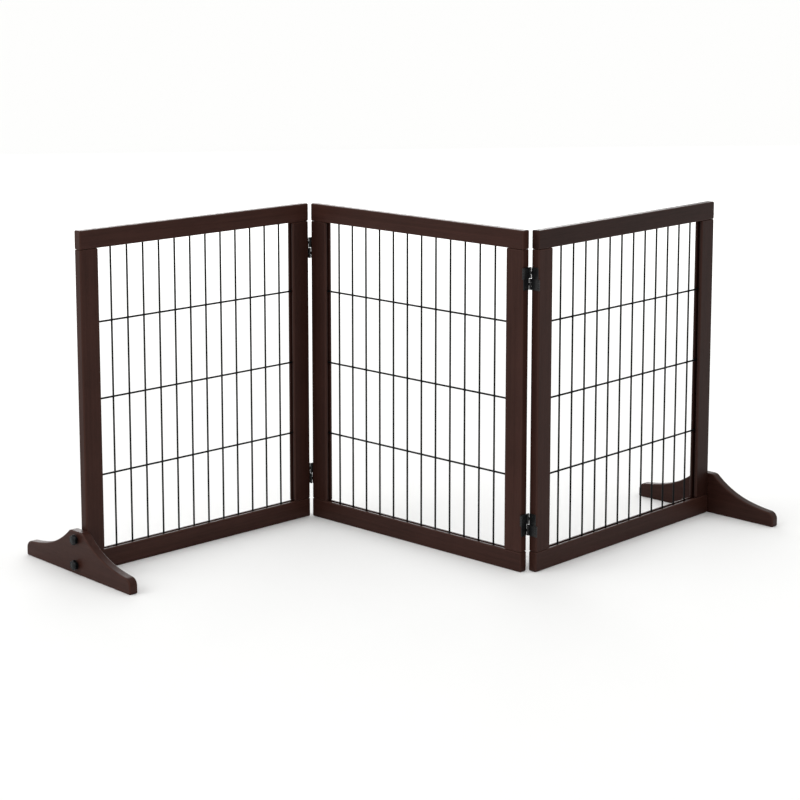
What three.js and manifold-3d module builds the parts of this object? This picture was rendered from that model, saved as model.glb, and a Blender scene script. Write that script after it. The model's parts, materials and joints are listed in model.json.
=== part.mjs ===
// Freestanding pet gate: three framed wire panels joined in a zigzag by four two-way hinges,
// held up by a shaped foot bolted to each outer end with two hand knobs.
// Millimetres, +Z up. The origin is on the floor under the centre of the middle panel,
// +X runs along the middle panel and -Y is its front. The left panel is folded forward by
// LEFT_FOLD and the right panel backward by RIGHT_FOLD.

import * as THREE from 'three';
import { mergeVertices } from 'three/addons/utils/BufferGeometryUtils.js';
import Module from 'manifold-3d';

const wasm = await Module();
wasm.setup();

// ---------- driving dimensions ----------

const PANEL_WIDTH = 518;
const PANEL_HEIGHT = 610;
const THICKNESS = 17;            // of the frame timber, and of the feet
const STILE_WIDTH = 38;
const TOP_RAIL_HEIGHT = 33.5;
const BOTTOM_RAIL_HEIGHT = 36;
const EDGE_RADIUS = 2.5;         // easing of the long timber edges
const CLEARANCE = 0.3;           // left between any two pieces that touch

const GROOVE_WIDTH = 6.8;        // slot that holds the wire panel
const GROOVE_DEPTH = 8;
const GROOVE_STOP = 8;           // timber left closed at each end of a rail's slot

const WIRE_DIAMETER = 3.4;
const UPRIGHT_WIRES = 12;
const UPRIGHT_PITCH = 34.75;
const CROSS_WIRES = 3;
const CROSS_PITCH = 137.5;
const CROSS_MIDDLE = 307;        // height of the middle cross wire
const WELD_DEPTH = 0.6;          // how far crossing wires sink into each other

const LEFT_FOLD = THREE.MathUtils.degToRad(86);   // from the straight position
const RIGHT_FOLD = THREE.MathUtils.degToRad(89);
const HINGE_GAP = 4;             // between two panels' edges when they are in line
const PIN_PROUD = 1;             // hinge axis outside the face of the timber
const HINGE_HEIGHT = 40;
const HINGE_INSET = 85;          // hinge centre to the panel's top or bottom
const LEAF_THICKNESS = 0.8;
const LEAF_SETBACK = 1.2;        // leaf edge inside the timber's faces
const LINK_THICKNESS = 0.8;
const BARREL_RADIUS = 2;
const PIN_RADIUS = 0.8;
const EAR_HEIGHT = 6;
const HALF_SPLIT = 0.5;          // hinge mid-height to the start of either link
const LEAF_SCREW_HEIGHTS = [-15.5, 15.5];

const SCREW_HEAD_RADIUS = 2.6;
const SCREW_SHANK_RADIUS = 1.4;
const SCREW_LENGTH = 16;
const SCREW_DOME = 0.15;

const FOOT_LENGTH = 316;
const FOOT_HEIGHT = 78;
const FOOT_FLAT = 36;            // level top of the foot
const FOOT_TIP_HEIGHT = 28;
const FOOT_TIP_RADIUS = 14;
const FOOT_CORNER = 6;
const FOOT_TOE_RADIUS = 3;
const FOOT_TIP_SWEEP = 83;       // degrees that the toe's arc turns from upright
const FOOT_SHOULDER = 4;         // slope's top: out from the level part by this
const FOOT_SHOULDER_DROP = 2;    // and down by this
const FOOT_LOW_PULL = [0.61, 33];    // slope's lower control: share of the half length, and height
const FOOT_HIGH_PULL = [0.37, 43.7]; // slope's upper control, the same way
const FOOT_BOLT_HEIGHTS = [18, 64];
const FOOT_BOLT_NAMES = ['lower', 'upper'];

const KNOB_RADIUS = 9.5;
const KNOB_LOBES = 6;
const KNOB_LOBE_DEPTH = 1.6;
const KNOB_THICKNESS = 3.6;        // of the grip between its bevels
const KNOB_BEVEL = 1.2;
const COLLAR_RADIUS = 5.2;
const COLLAR_THICKNESS = 2;
const STUD_RADIUS = 3;
const STUD_REACH = 20;           // how far the knob's stud enters the timber
const INSERT_RADIUS = 5;
const INSERT_LENGTH = 14;

const WIRE_SIDES = 6;
const ROUND_SIDES = 12;          // of barrels, studs and bolt holes
const SMALL_SIDES = 8;           // of pins, screws and pilot holes
const CURVE_STEPS = 5;

// ---------- finishes ----------

const FINISHES = {
  stainedWood: { color: 0x3c2823, roughness: 0.5, metalness: 0.0 },
  blackWire: { color: 0x1b1c1d, roughness: 0.45, metalness: 0.6 },
  blackSteel: { color: 0x222324, roughness: 0.42, metalness: 0.7 },
  blackPlastic: { color: 0x17191b, roughness: 0.5, metalness: 0.0 },
  brass: { color: 0xb08d57, roughness: 0.35, metalness: 0.9 },
};

function pieceMesh(name, geometry, finish) {
  const mesh = new THREE.Mesh(geometry, new THREE.MeshStandardMaterial(FINISHES[finish]));
  mesh.name = name;
  return mesh;
}

// ---------- solids and booleans ----------

function toSolid(geometry) {
  const bare = geometry.clone();
  bare.deleteAttribute('normal');
  bare.deleteAttribute('uv');
  const welded = mergeVertices(bare, 1e-4);
  return new wasm.Manifold(new wasm.Mesh({
    numProp: 3,
    vertProperties: new Float32Array(welded.getAttribute('position').array),
    triVerts: new Uint32Array(welded.getIndex().array),
  }));
}

function toGeometry(solid) {
  const mesh = solid.getMesh();
  const geometry = new THREE.BufferGeometry();
  geometry.setAttribute('position', new THREE.BufferAttribute(mesh.vertProperties, 3));
  geometry.setIndex(new THREE.BufferAttribute(mesh.triVerts, 1));
  geometry.computeVertexNormals();
  return geometry;
}

function carve(body, cutters) {
  return cutters.reduce((left, cutter) => left.subtract(toSolid(cutter)), toSolid(body));
}

function join(geometries) {
  return geometries.map(toSolid).reduce((whole, next) => whole.add(next));
}

// A box given by its low and high corners.
function boxBetween(low, high) {
  const size = high.map((value, i) => value - low[i]);
  const centre = high.map((value, i) => (value + low[i]) / 2);
  return new THREE.BoxGeometry(...size).translate(...centre);
}

// A cylinder along Z from z = 0 up.
function upright(radius, length, sides) {
  return new THREE.CylinderGeometry(radius, radius, length, sides)
    .rotateX(Math.PI / 2)
    .translate(0, 0, length / 2);
}

// A turned piece about the X axis: points are [distance along X, radius].
function turnedAlongX(points, sides) {
  const profile = points.map(([along, radius]) => new THREE.Vector2(radius, along));
  return new THREE.LatheGeometry(profile, sides).rotateZ(-Math.PI / 2);
}

// A plain round bore along X between two stations, centred on (y, z).
function boreAlongX(from, to, radius, y, z) {
  return turnedAlongX([[from, 0], [from, radius], [to, radius], [to, 0]], SMALL_SIDES).translate(0, y, z);
}

// ---------- frame timber ----------

// Outline of a timber section with all four edges eased, centred on its own origin.
function easedSection(across, deep) {
  const [x, y, r] = [across / 2, deep / 2, EDGE_RADIUS];
  const outline = new THREE.Shape();
  outline.moveTo(-x + r, -y);
  outline.lineTo(x - r, -y);
  outline.absarc(x - r, -y + r, r, -Math.PI / 2, 0);
  outline.absarc(x - r, y - r, r, 0, Math.PI / 2);
  outline.absarc(-x + r, y - r, r, Math.PI / 2, Math.PI);
  outline.absarc(-x + r, -y + r, r, Math.PI, Math.PI * 1.5);
  return outline;
}

function easedBar(across, deep, length) {
  return new THREE.ExtrudeGeometry(easedSection(across, deep), {
    depth: length, bevelEnabled: false, curveSegments: 2,
  }).translate(0, 0, -length / 2);
}

// A full-width rail, lying along X with its slot facing up (slotUp) or down.
function railGeometry(height, slotUp, bores) {
  const bar = easedBar(THICKNESS, height, PANEL_WIDTH)
    .rotateZ(Math.PI / 2)
    .rotateY(Math.PI / 2);
  const halfSlot = PANEL_WIDTH / 2 - GROOVE_STOP;
  const edge = height / 2;
  const [slotFoot, slotTop] = slotUp ? [edge - GROOVE_DEPTH, edge + 1] : [-edge - 1, -edge + GROOVE_DEPTH];
  const slot = boxBetween(
    [-halfSlot, -GROOVE_WIDTH / 2, slotFoot],
    [halfSlot, GROOVE_WIDTH / 2, slotTop],
  );
  return toGeometry(carve(bar, [slot, ...bores]));
}

// A stile standing between the rails, centred on its own origin. Its slot faces +X, and a
// tongue at each end fills the slot of the rail that it meets.
function stileGeometry(bores) {
  const length = PANEL_HEIGHT - TOP_RAIL_HEIGHT - BOTTOM_RAIL_HEIGHT - 2 * CLEARANCE;
  const half = STILE_WIDTH / 2;
  const bar = easedBar(STILE_WIDTH, THICKNESS, length);
  const slot = boxBetween(
    [half - GROOVE_DEPTH, -GROOVE_WIDTH / 2, -length],
    [half + 1, GROOVE_WIDTH / 2, length],
  );
  const tongueThickness = GROOVE_WIDTH / 2 - CLEARANCE;
  const tongueReach = length / 2 + GROOVE_DEPTH - CLEARANCE;
  const tongue = boxBetween(
    [-half + GROOVE_STOP + CLEARANCE, -tongueThickness, -tongueReach],
    [half - GROOVE_DEPTH - CLEARANCE, tongueThickness, tongueReach],
  );
  const whole = carve(bar, [slot]).add(toSolid(tongue));
  return toGeometry(bores.reduce((left, bore) => left.subtract(toSolid(bore)), whole));
}

// The welded wire panel, in the panel's own frame: centred in X, standing on z = 0.
function wirePanelGeometry() {
  const radius = WIRE_DIAMETER / 2;
  const offset = radius - WELD_DEPTH / 2;
  const low = BOTTOM_RAIL_HEIGHT - GROOVE_DEPTH + CLEARANCE;
  const high = PANEL_HEIGHT - TOP_RAIL_HEIGHT + GROOVE_DEPTH - CLEARANCE;
  const span = PANEL_WIDTH - 2 * (STILE_WIDTH - GROOVE_DEPTH + CLEARANCE);
  const wires = [];
  for (let i = 0; i < UPRIGHT_WIRES; i += 1) {
    const x = (i - (UPRIGHT_WIRES - 1) / 2) * UPRIGHT_PITCH;
    wires.push(upright(radius, high - low, WIRE_SIDES).translate(x, -offset, low));
  }
  for (let i = 0; i < CROSS_WIRES; i += 1) {
    const z = CROSS_MIDDLE + (i - (CROSS_WIRES - 1) / 2) * CROSS_PITCH;
    const wire = upright(radius, span, WIRE_SIDES).rotateY(Math.PI / 2);
    wires.push(wire.translate(-span / 2, offset, z));
  }
  return toGeometry(join(wires));
}

// ---------- hinge ----------

// Hinge pieces are drawn with the panels in line: X across the gap, Y through the thickness,
// Z up from the hinge's middle. The front pins stand at -PIN_Y and the rear pins at +PIN_Y.
const PIN_Y = THICKNESS / 2 + PIN_PROUD;
const LEAF_OUTER = HINGE_GAP / 2 - CLEARANCE;
const LEAF_INNER = LEAF_OUTER - LEAF_THICKNESS;
const LEAF_EDGE = THICKNESS / 2 - LEAF_SETBACK;
const LINK_HEIGHT = HINGE_HEIGHT / 2 - HALF_SPLIT;
const EAR_MIDDLE = HALF_SPLIT + LINK_HEIGHT / 2;

// The left leaf: a plate on the left panel's edge, an ear round the front pin in the upper
// half and one round the rear pin in the lower half, and two countersunk holes.
function leafGeometry() {
  const plate = boxBetween(
    [-LEAF_OUTER, -LEAF_EDGE, -HINGE_HEIGHT / 2],
    [-LEAF_INNER, LEAF_EDGE, HINGE_HEIGHT / 2],
  );
  const pieces = [plate];
  const cutters = [];
  for (const side of [-1, 1]) {
    const foot = -side * EAR_MIDDLE - EAR_HEIGHT / 2;
    const near = side * (LEAF_EDGE - LEAF_THICKNESS);
    const far = side * (PIN_Y + 0.5);
    const arm = boxBetween(
      [-LEAF_OUTER, Math.min(near, far), foot],
      [-PIN_RADIUS - CLEARANCE / 2, Math.max(near, far), foot + EAR_HEIGHT],
    );
    const barrel = upright(BARREL_RADIUS, EAR_HEIGHT, ROUND_SIDES).translate(0, side * PIN_Y, foot);
    pieces.push(arm, barrel);
    const bore = upright(PIN_RADIUS + CLEARANCE, EAR_HEIGHT + 2, SMALL_SIDES);
    cutters.push(bore.translate(0, side * PIN_Y, foot - 1));
  }
  for (const z of LEAF_SCREW_HEIGHTS) {
    const countersink = turnedAlongX([
      [-LEAF_OUTER - 1, 0],
      [-LEAF_OUTER - 1, SCREW_SHANK_RADIUS + CLEARANCE],
      [-LEAF_OUTER, SCREW_SHANK_RADIUS + CLEARANCE],
      [-LEAF_INNER, SCREW_HEAD_RADIUS + CLEARANCE],
      [-LEAF_INNER + 1, SCREW_HEAD_RADIUS + CLEARANCE],
      [-LEAF_INNER + 1, 0],
    ], SMALL_SIDES);
    cutters.push(countersink.translate(0, 0, z));
  }
  const whole = join(pieces);
  return toGeometry(cutters.reduce((left, cutter) => left.subtract(toSolid(cutter)), whole));
}

// The upper link: a web between the front and rear pins, split at each pin into two barrels
// that leave room for a leaf's ear, with both pins riveted in.
function linkGeometry() {
  const foot = HALF_SPLIT;
  const earFoot = EAR_MIDDLE - EAR_HEIGHT / 2 - CLEARANCE;
  const earTop = EAR_MIDDLE + EAR_HEIGHT / 2 + CLEARANCE;
  const top = foot + LINK_HEIGHT;
  const webEdge = PIN_Y - BARREL_RADIUS - CLEARANCE;
  const t = LINK_THICKNESS / 2;
  const pieces = [boxBetween([-t, -webEdge, foot], [t, webEdge, top])];
  for (const [low, high] of [[foot, earFoot], [earTop, top]]) {
    pieces.push(boxBetween([-t, -PIN_Y, low], [t, PIN_Y, high]));
    for (const side of [-1, 1]) {
      pieces.push(upright(BARREL_RADIUS, high - low, ROUND_SIDES).translate(0, side * PIN_Y, low));
    }
  }
  for (const side of [-1, 1]) {
    pieces.push(upright(PIN_RADIUS, LINK_HEIGHT, SMALL_SIDES).translate(0, side * PIN_Y, foot));
  }
  return toGeometry(join(pieces));
}

// A countersunk wood screw of the left leaf, its point towards -X.
function leafScrewGeometry() {
  return turnedAlongX([
    [-LEAF_OUTER - SCREW_LENGTH, 0],
    [-LEAF_OUTER - SCREW_LENGTH + 4, SCREW_SHANK_RADIUS],
    [-LEAF_OUTER, SCREW_SHANK_RADIUS],
    [-LEAF_INNER, SCREW_HEAD_RADIUS],
    [-LEAF_INNER + SCREW_DOME, SCREW_HEAD_RADIUS * 0.6],
    [-LEAF_INNER + SCREW_DOME, 0],
  ], SMALL_SIDES);
}

// The pilot hole for that screw in the left panel's stile.
function leafPilotGeometry(z) {
  return boreAlongX(-LEAF_OUTER - SCREW_LENGTH - 1, 0, SCREW_SHANK_RADIUS + CLEARANCE, 0, z);
}

const HINGE_HEIGHTS = { upper: PANEL_HEIGHT - HINGE_INSET, lower: HINGE_INSET };

// Adds one hinge at height z between the panels that left and right own. An owner's group
// carries its panel, and its x and y are the middle of the hinge gap in that group. The upper
// link goes with upperOwner's panel and the lower link with lowerOwner's.
function addHinge(name, z, left, right, upperOwner, lowerOwner) {
  const place = (mesh, owner) => {
    mesh.position.set(owner.x, owner.y, z);
    owner.group.add(mesh);
    return mesh;
  };
  place(pieceMesh(`${name}_left_leaf`, leafGeometry(), 'blackSteel'), left);
  place(pieceMesh(`${name}_right_leaf`, leafGeometry(), 'blackSteel'), right).rotation.z = Math.PI;
  place(pieceMesh(`${name}_upper_link`, linkGeometry(), 'blackSteel'), upperOwner);
  place(pieceMesh(`${name}_lower_link`, linkGeometry(), 'blackSteel'), lowerOwner).rotation.y = Math.PI;
  LEAF_SCREW_HEIGHTS.forEach((height, i) => {
    const screw = (side) => pieceMesh(`${name}_${side}_screw_${i + 1}`, leafScrewGeometry(), 'blackSteel');
    const leftScrew = place(screw('left'), left);
    leftScrew.position.z += height;
    const rightScrew = place(screw('right'), right);
    rightScrew.position.z += height;
    rightScrew.rotation.z = Math.PI;
  });
}

// ---------- foot, knob and insert ----------

// Side outline of a foot in (across, up): level top, hollow slopes and round toes.
function footOutline() {
  const half = FOOT_LENGTH / 2;
  const flat = FOOT_FLAT / 2;
  const toe = FOOT_TOE_RADIUS;
  const tipX = half - FOOT_TIP_RADIUS;
  const tipZ = FOOT_TIP_HEIGHT - FOOT_TIP_RADIUS;
  const sweep = THREE.MathUtils.degToRad(FOOT_TIP_SWEEP);
  const slopeFoot = [tipX + FOOT_TIP_RADIUS * Math.cos(sweep), tipZ + FOOT_TIP_RADIUS * Math.sin(sweep)];
  const slopeTop = [flat + FOOT_SHOULDER, FOOT_HEIGHT - FOOT_SHOULDER_DROP];
  const lowPull = [half * FOOT_LOW_PULL[0], FOOT_LOW_PULL[1]];
  const highPull = [half * FOOT_HIGH_PULL[0], FOOT_HIGH_PULL[1]];
  const mirror = ([x, z]) => [-x, z];
  const outline = new THREE.Shape();
  outline.moveTo(-half + toe, 0);
  outline.lineTo(half - toe, 0);
  outline.absarc(half - toe, toe, toe, -Math.PI / 2, 0);
  outline.absarc(tipX, tipZ, FOOT_TIP_RADIUS, 0, sweep);
  outline.bezierCurveTo(...lowPull, ...highPull, ...slopeTop);
  outline.quadraticCurveTo(flat, FOOT_HEIGHT, flat - FOOT_CORNER, FOOT_HEIGHT);
  outline.lineTo(-flat + FOOT_CORNER, FOOT_HEIGHT);
  outline.quadraticCurveTo(-flat, FOOT_HEIGHT, ...mirror(slopeTop));
  outline.bezierCurveTo(...mirror(highPull), ...mirror(lowPull), ...mirror(slopeFoot));
  outline.absarc(-tipX, tipZ, FOOT_TIP_RADIUS, Math.PI - sweep, Math.PI);
  outline.absarc(-half + toe, toe, toe, Math.PI, Math.PI * 1.5);
  return outline;
}

// A foot whose inner face is the plane x = 0 and whose board lies on the -X side.
function footGeometry() {
  const board = new THREE.ExtrudeGeometry(footOutline(), {
    depth: THICKNESS, bevelEnabled: false, curveSegments: CURVE_STEPS,
  }).rotateX(Math.PI / 2).rotateZ(Math.PI / 2).translate(-THICKNESS, 0, 0);
  const bores = FOOT_BOLT_HEIGHTS.map((z) => boreAlongX(-THICKNESS - 1, 1, STUD_RADIUS + CLEARANCE, 0, z));
  return toGeometry(carve(board, bores));
}

// Outline of the knob's grip: a circle with shallow lobes.
function knobOutline() {
  const count = KNOB_LOBES * 4;
  const points = [];
  for (let i = 0; i < count; i += 1) {
    const angle = (i / count) * Math.PI * 2;
    const dip = KNOB_LOBE_DEPTH * (1 - Math.cos(KNOB_LOBES * angle)) / 2;
    const radius = KNOB_RADIUS - KNOB_BEVEL - dip;
    points.push(new THREE.Vector2(radius * Math.cos(angle), radius * Math.sin(angle)));
  }
  return new THREE.Shape(points);
}

// A knob on the outer face of a foot whose board lies from x = -THICKNESS to x = 0, with its
// stud pointing towards +X.
function knobGeometry() {
  const seat = -THICKNESS - CLEARANCE;
  const grip = new THREE.ExtrudeGeometry(knobOutline(), {
    depth: KNOB_THICKNESS, bevelEnabled: true, bevelSize: KNOB_BEVEL,
    bevelThickness: KNOB_BEVEL, bevelSegments: 1,
  }).rotateY(-Math.PI / 2).translate(seat - COLLAR_THICKNESS - KNOB_BEVEL, 0, 0);
  const collar = turnedAlongX([
    [seat - COLLAR_THICKNESS - KNOB_BEVEL, 0],
    [seat - COLLAR_THICKNESS - KNOB_BEVEL, COLLAR_RADIUS],
    [seat, COLLAR_RADIUS],
    [seat, 0],
  ], ROUND_SIDES);
  const stud = turnedAlongX([
    [seat - COLLAR_THICKNESS, 0],
    [seat - COLLAR_THICKNESS, STUD_RADIUS],
    [STUD_REACH - 1, STUD_RADIUS],
    [STUD_REACH, STUD_RADIUS - 1],
    [STUD_REACH, 0],
  ], ROUND_SIDES);
  return toGeometry(join([grip, collar, stud]));
}

// The threaded insert in the timber that a knob's stud screws into, its mouth at x = 0.
function insertGeometry() {
  const bore = STUD_RADIUS + CLEARANCE;
  return turnedAlongX([
    [CLEARANCE, bore],
    [CLEARANCE, INSERT_RADIUS],
    [CLEARANCE + INSERT_LENGTH, INSERT_RADIUS],
    [CLEARANCE + INSERT_LENGTH, bore],
    [CLEARANCE, bore],
  ], ROUND_SIDES);
}

// The hole for that insert and the stud's end, entering the timber at x = 0 along +X.
function insertBoreGeometry(y, z) {
  return turnedAlongX([
    [-1, 0],
    [-1, INSERT_RADIUS + CLEARANCE],
    [INSERT_LENGTH + 2 * CLEARANCE, INSERT_RADIUS + CLEARANCE],
    [INSERT_LENGTH + 2 * CLEARANCE, STUD_RADIUS + CLEARANCE],
    [STUD_REACH + 2, STUD_RADIUS + CLEARANCE],
    [STUD_REACH + 2, 0],
  ], ROUND_SIDES).translate(0, y, z);
}

// ---------- panels ----------

// Adds a framed wire panel to owner.group, centred on (owner.panelX, owner.panelY). sides says
// what each edge carries: 'hinge' or 'foot'.
function addPanel(name, owner, sides) {
  const stileMiddle = BOTTOM_RAIL_HEIGHT + (PANEL_HEIGHT - TOP_RAIL_HEIGHT - BOTTOM_RAIL_HEIGHT) / 2;
  const [lowerBolt, upperBolt] = FOOT_BOLT_HEIGHTS;
  const place = (mesh, x, z) => {
    mesh.position.set(owner.panelX + x, owner.panelY, z);
    owner.group.add(mesh);
    return mesh;
  };

  const railBores = [];
  for (const [side, turn] of [[sides.left, 0], [sides.right, Math.PI]]) {
    if (side === 'foot') {
      const bore = insertBoreGeometry(0, lowerBolt - BOTTOM_RAIL_HEIGHT / 2);
      railBores.push(bore.translate(-PANEL_WIDTH / 2, 0, 0).rotateZ(turn));
    }
  }
  const topRail = railGeometry(TOP_RAIL_HEIGHT, false, []);
  const bottomRail = railGeometry(BOTTOM_RAIL_HEIGHT, true, railBores);
  place(pieceMesh(`${name}_top_rail`, topRail, 'stainedWood'), 0, PANEL_HEIGHT - TOP_RAIL_HEIGHT / 2);
  place(pieceMesh(`${name}_bottom_rail`, bottomRail, 'stainedWood'), 0, BOTTOM_RAIL_HEIGHT / 2);

  // Both stiles are drawn as the left one, with the slot towards +X and the edge that carries
  // the hinge or the foot towards -X, and the right one is turned half round.
  const outerEdge = -STILE_WIDTH / 2;
  const boresFor = (side) => {
    if (side === 'foot') {
      return [insertBoreGeometry(0, upperBolt - stileMiddle).translate(outerEdge, 0, 0)];
    }
    const toLeafFrame = outerEdge - HINGE_GAP / 2;
    return Object.values(HINGE_HEIGHTS).flatMap((hinge) => LEAF_SCREW_HEIGHTS.map((height) => (
      leafPilotGeometry(hinge + height - stileMiddle).rotateZ(Math.PI).translate(toLeafFrame, 0, 0)
    )));
  };
  const stileX = (PANEL_WIDTH - STILE_WIDTH) / 2;
  const leftStile = stileGeometry(boresFor(sides.left));
  const rightStile = stileGeometry(boresFor(sides.right));
  place(pieceMesh(`${name}_left_stile`, leftStile, 'stainedWood'), -stileX, stileMiddle);
  const turned = pieceMesh(`${name}_right_stile`, rightStile, 'stainedWood');
  place(turned, stileX, stileMiddle).rotation.z = Math.PI;
  place(pieceMesh(`${name}_wire_panel`, wirePanelGeometry(), 'blackWire'), 0, 0);
}

// Adds a foot with its knobs and inserts at an end of a panel: turn is 0 for the left end and
// half a turn for the right end.
function addFoot(name, owner, turn) {
  const end = new THREE.Group();
  const reach = PANEL_WIDTH / 2;
  end.position.set(owner.panelX - Math.cos(turn) * reach, owner.panelY, 0);
  end.rotation.z = turn;
  owner.group.add(end);
  const place = (mesh, x, z) => {
    mesh.position.set(x, 0, z);
    end.add(mesh);
  };
  place(pieceMesh(`${name}_foot`, footGeometry(), 'stainedWood'), -CLEARANCE, 0);
  FOOT_BOLT_HEIGHTS.forEach((z, i) => {
    place(pieceMesh(`${name}_${FOOT_BOLT_NAMES[i]}_knob`, knobGeometry(), 'blackPlastic'), -CLEARANCE, z);
    place(pieceMesh(`${name}_${FOOT_BOLT_NAMES[i]}_insert`, insertGeometry(), 'brass'), 0, z);
  });
}

// ---------- the gate ----------

const gate = new THREE.Group();
const halfPitch = (PANEL_WIDTH + HINGE_GAP) / 2;

// Each panel's group turns about its fold axis. panelX and panelY are the panel's centre in
// that group, and x and y the middle of the hinge gap.
const middle = new THREE.Group();
const middleOwner = { group: middle, panelX: 0, panelY: 0 };
gate.add(middle);

const left = new THREE.Group();
left.position.set(-halfPitch, -PIN_Y, 0);
left.rotation.z = LEFT_FOLD;
const leftOwner = { group: left, panelX: -halfPitch, panelY: PIN_Y, x: 0, y: PIN_Y };
gate.add(left);

const right = new THREE.Group();
right.position.set(halfPitch, PIN_Y, 0);
right.rotation.z = RIGHT_FOLD;
const rightOwner = { group: right, panelX: halfPitch, panelY: -PIN_Y, x: 0, y: -PIN_Y };
gate.add(right);

addPanel('middle', middleOwner, { left: 'hinge', right: 'hinge' });
addPanel('left', leftOwner, { left: 'foot', right: 'hinge' });
addPanel('right', rightOwner, { left: 'hinge', right: 'foot' });
addFoot('left', leftOwner, 0);
addFoot('right', rightOwner, Math.PI);

// On both lines the upper link stays with the middle panel and the lower link goes with the
// panel that folds.
const middleAtLeft = { ...middleOwner, x: -halfPitch, y: 0 };
const middleAtRight = { ...middleOwner, x: halfPitch, y: 0 };
for (const [level, z] of Object.entries(HINGE_HEIGHTS)) {
  addHinge(`left_${level}_hinge`, z, leftOwner, middleAtLeft, middleAtLeft, leftOwner);
  addHinge(`right_${level}_hinge`, z, middleAtRight, rightOwner, middleAtRight, rightOwner);
}

export default gate;
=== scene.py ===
"""Freestanding three-panel pet gate: dark stained timber frames, black wire, two-way hinges, bolted feet."""

import json
import math

import bpy
import numpy as np
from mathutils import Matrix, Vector
from mathutils.geometry import tessellate_polygon


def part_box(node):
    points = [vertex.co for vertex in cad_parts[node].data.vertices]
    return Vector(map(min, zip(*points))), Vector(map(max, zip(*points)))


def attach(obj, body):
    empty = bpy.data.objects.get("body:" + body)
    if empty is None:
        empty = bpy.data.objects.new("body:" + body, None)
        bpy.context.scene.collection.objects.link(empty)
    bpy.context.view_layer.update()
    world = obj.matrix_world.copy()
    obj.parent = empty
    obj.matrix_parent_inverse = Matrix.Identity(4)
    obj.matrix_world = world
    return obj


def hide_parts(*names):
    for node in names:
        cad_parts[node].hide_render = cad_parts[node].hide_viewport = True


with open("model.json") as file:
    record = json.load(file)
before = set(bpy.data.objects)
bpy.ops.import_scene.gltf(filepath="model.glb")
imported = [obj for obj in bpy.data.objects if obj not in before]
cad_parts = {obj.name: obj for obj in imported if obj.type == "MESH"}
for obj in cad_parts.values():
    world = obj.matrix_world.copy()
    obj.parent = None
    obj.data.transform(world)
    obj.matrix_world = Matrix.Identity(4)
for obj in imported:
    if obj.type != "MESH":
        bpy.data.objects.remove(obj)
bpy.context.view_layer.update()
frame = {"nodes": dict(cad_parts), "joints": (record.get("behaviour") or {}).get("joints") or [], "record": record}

MM = 0.001


# ---------- sizes from the frame, in metres ----------

def node_box(node):
    """A node's lowest and highest corners as arrays."""
    low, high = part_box(node)
    return np.array(low), np.array(high)


def middle_height(node):
    """The height of the middle of a node's box."""
    low, high = node_box(node)
    return (low[2] + high[2]) / 2


top_low, top_high = node_box("middle_top_rail")
_, base_high = node_box("middle_bottom_rail")
stile_low, stile_high = node_box("middle_left_stile")
wire_low, wire_high = node_box("middle_wire_panel")
plate_low, plate_high = node_box("left_upper_hinge_right_leaf")
link_low, link_high = node_box("left_upper_hinge_upper_link")

PANEL_WIDTH = top_high[0] - top_low[0]
PANEL_HEIGHT = top_high[2]
THICKNESS = top_high[1] - top_low[1]
TOP_RAIL_HEIGHT = top_high[2] - top_low[2]
BOTTOM_RAIL_HEIGHT = base_high[2]
STILE_WIDTH = stile_high[0] - stile_low[0]
HINGE_HEIGHT = plate_high[2] - plate_low[2]
HINGE_HEIGHTS = {level: middle_height(f"left_{level}_hinge_right_leaf") for level in ("upper", "lower")}
LINK_HEIGHT = link_high[2] - link_low[2]

joints = {joint["name"]: joint for joint in frame["joints"]}
left_fold = np.array(joints["fold_left"]["pos_m"])
right_fold = np.array(joints["fold_right"]["pos_m"])
PIN_Y = abs(left_fold[1])
HALF_PITCH = abs(left_fold[0])
HINGE_GAP = 2 * HALF_PITCH - PANEL_WIDTH
BOLT_HEIGHTS = {level: joints[f"left_{level}_knob_turn"]["pos_m"][2] for level in ("lower", "upper")}

CLEARANCE = 0.3 * MM

# Timber
EDGE = 2.5 * MM             # radius of the long eased edges
END_EDGE = 1.8 * MM         # radius of the eased ends
SUPPORT = 0.3 * MM          # extra loop beside each rounding, so that flats shade flat
GROOVE_WIDTH = 6.8 * MM
GROOVE_DEPTH = 8.0 * MM
GROOVE_STOP = 8.0 * MM
GROOVE_LIP = 0.5 * MM       # radius of the groove's rounded lips
GROOVE_LEAN = 0.05 * MM     # how much narrower each half of the groove is at its floor
STOP_SLOPE = 0.2 * MM       # length over which a stopped groove reaches its full depth
TONGUE_CHAMFER = 0.4 * MM
GRAIN_STEPS = (1.37, 0.731, 0.417)  # metres along, across and through the tree from one board to the next
ARC_STEPS = 5

# Wire
WIRE_RADIUS = 1.7 * MM
UPRIGHT_WIRES = 12
UPRIGHT_PITCH = 34.75 * MM
CROSS_WIRES = 3
CROSS_PITCH = 137.5 * MM
CROSS_MIDDLE = 307.0 * MM
WELD_DEPTH = 0.6 * MM       # how far crossing wires are pressed into each other
WELD_NUGGET = np.array([2.1, 1.4, 2.1]) * MM
WELD_SIDES = 10
WIRE_SIDES = 16

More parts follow.
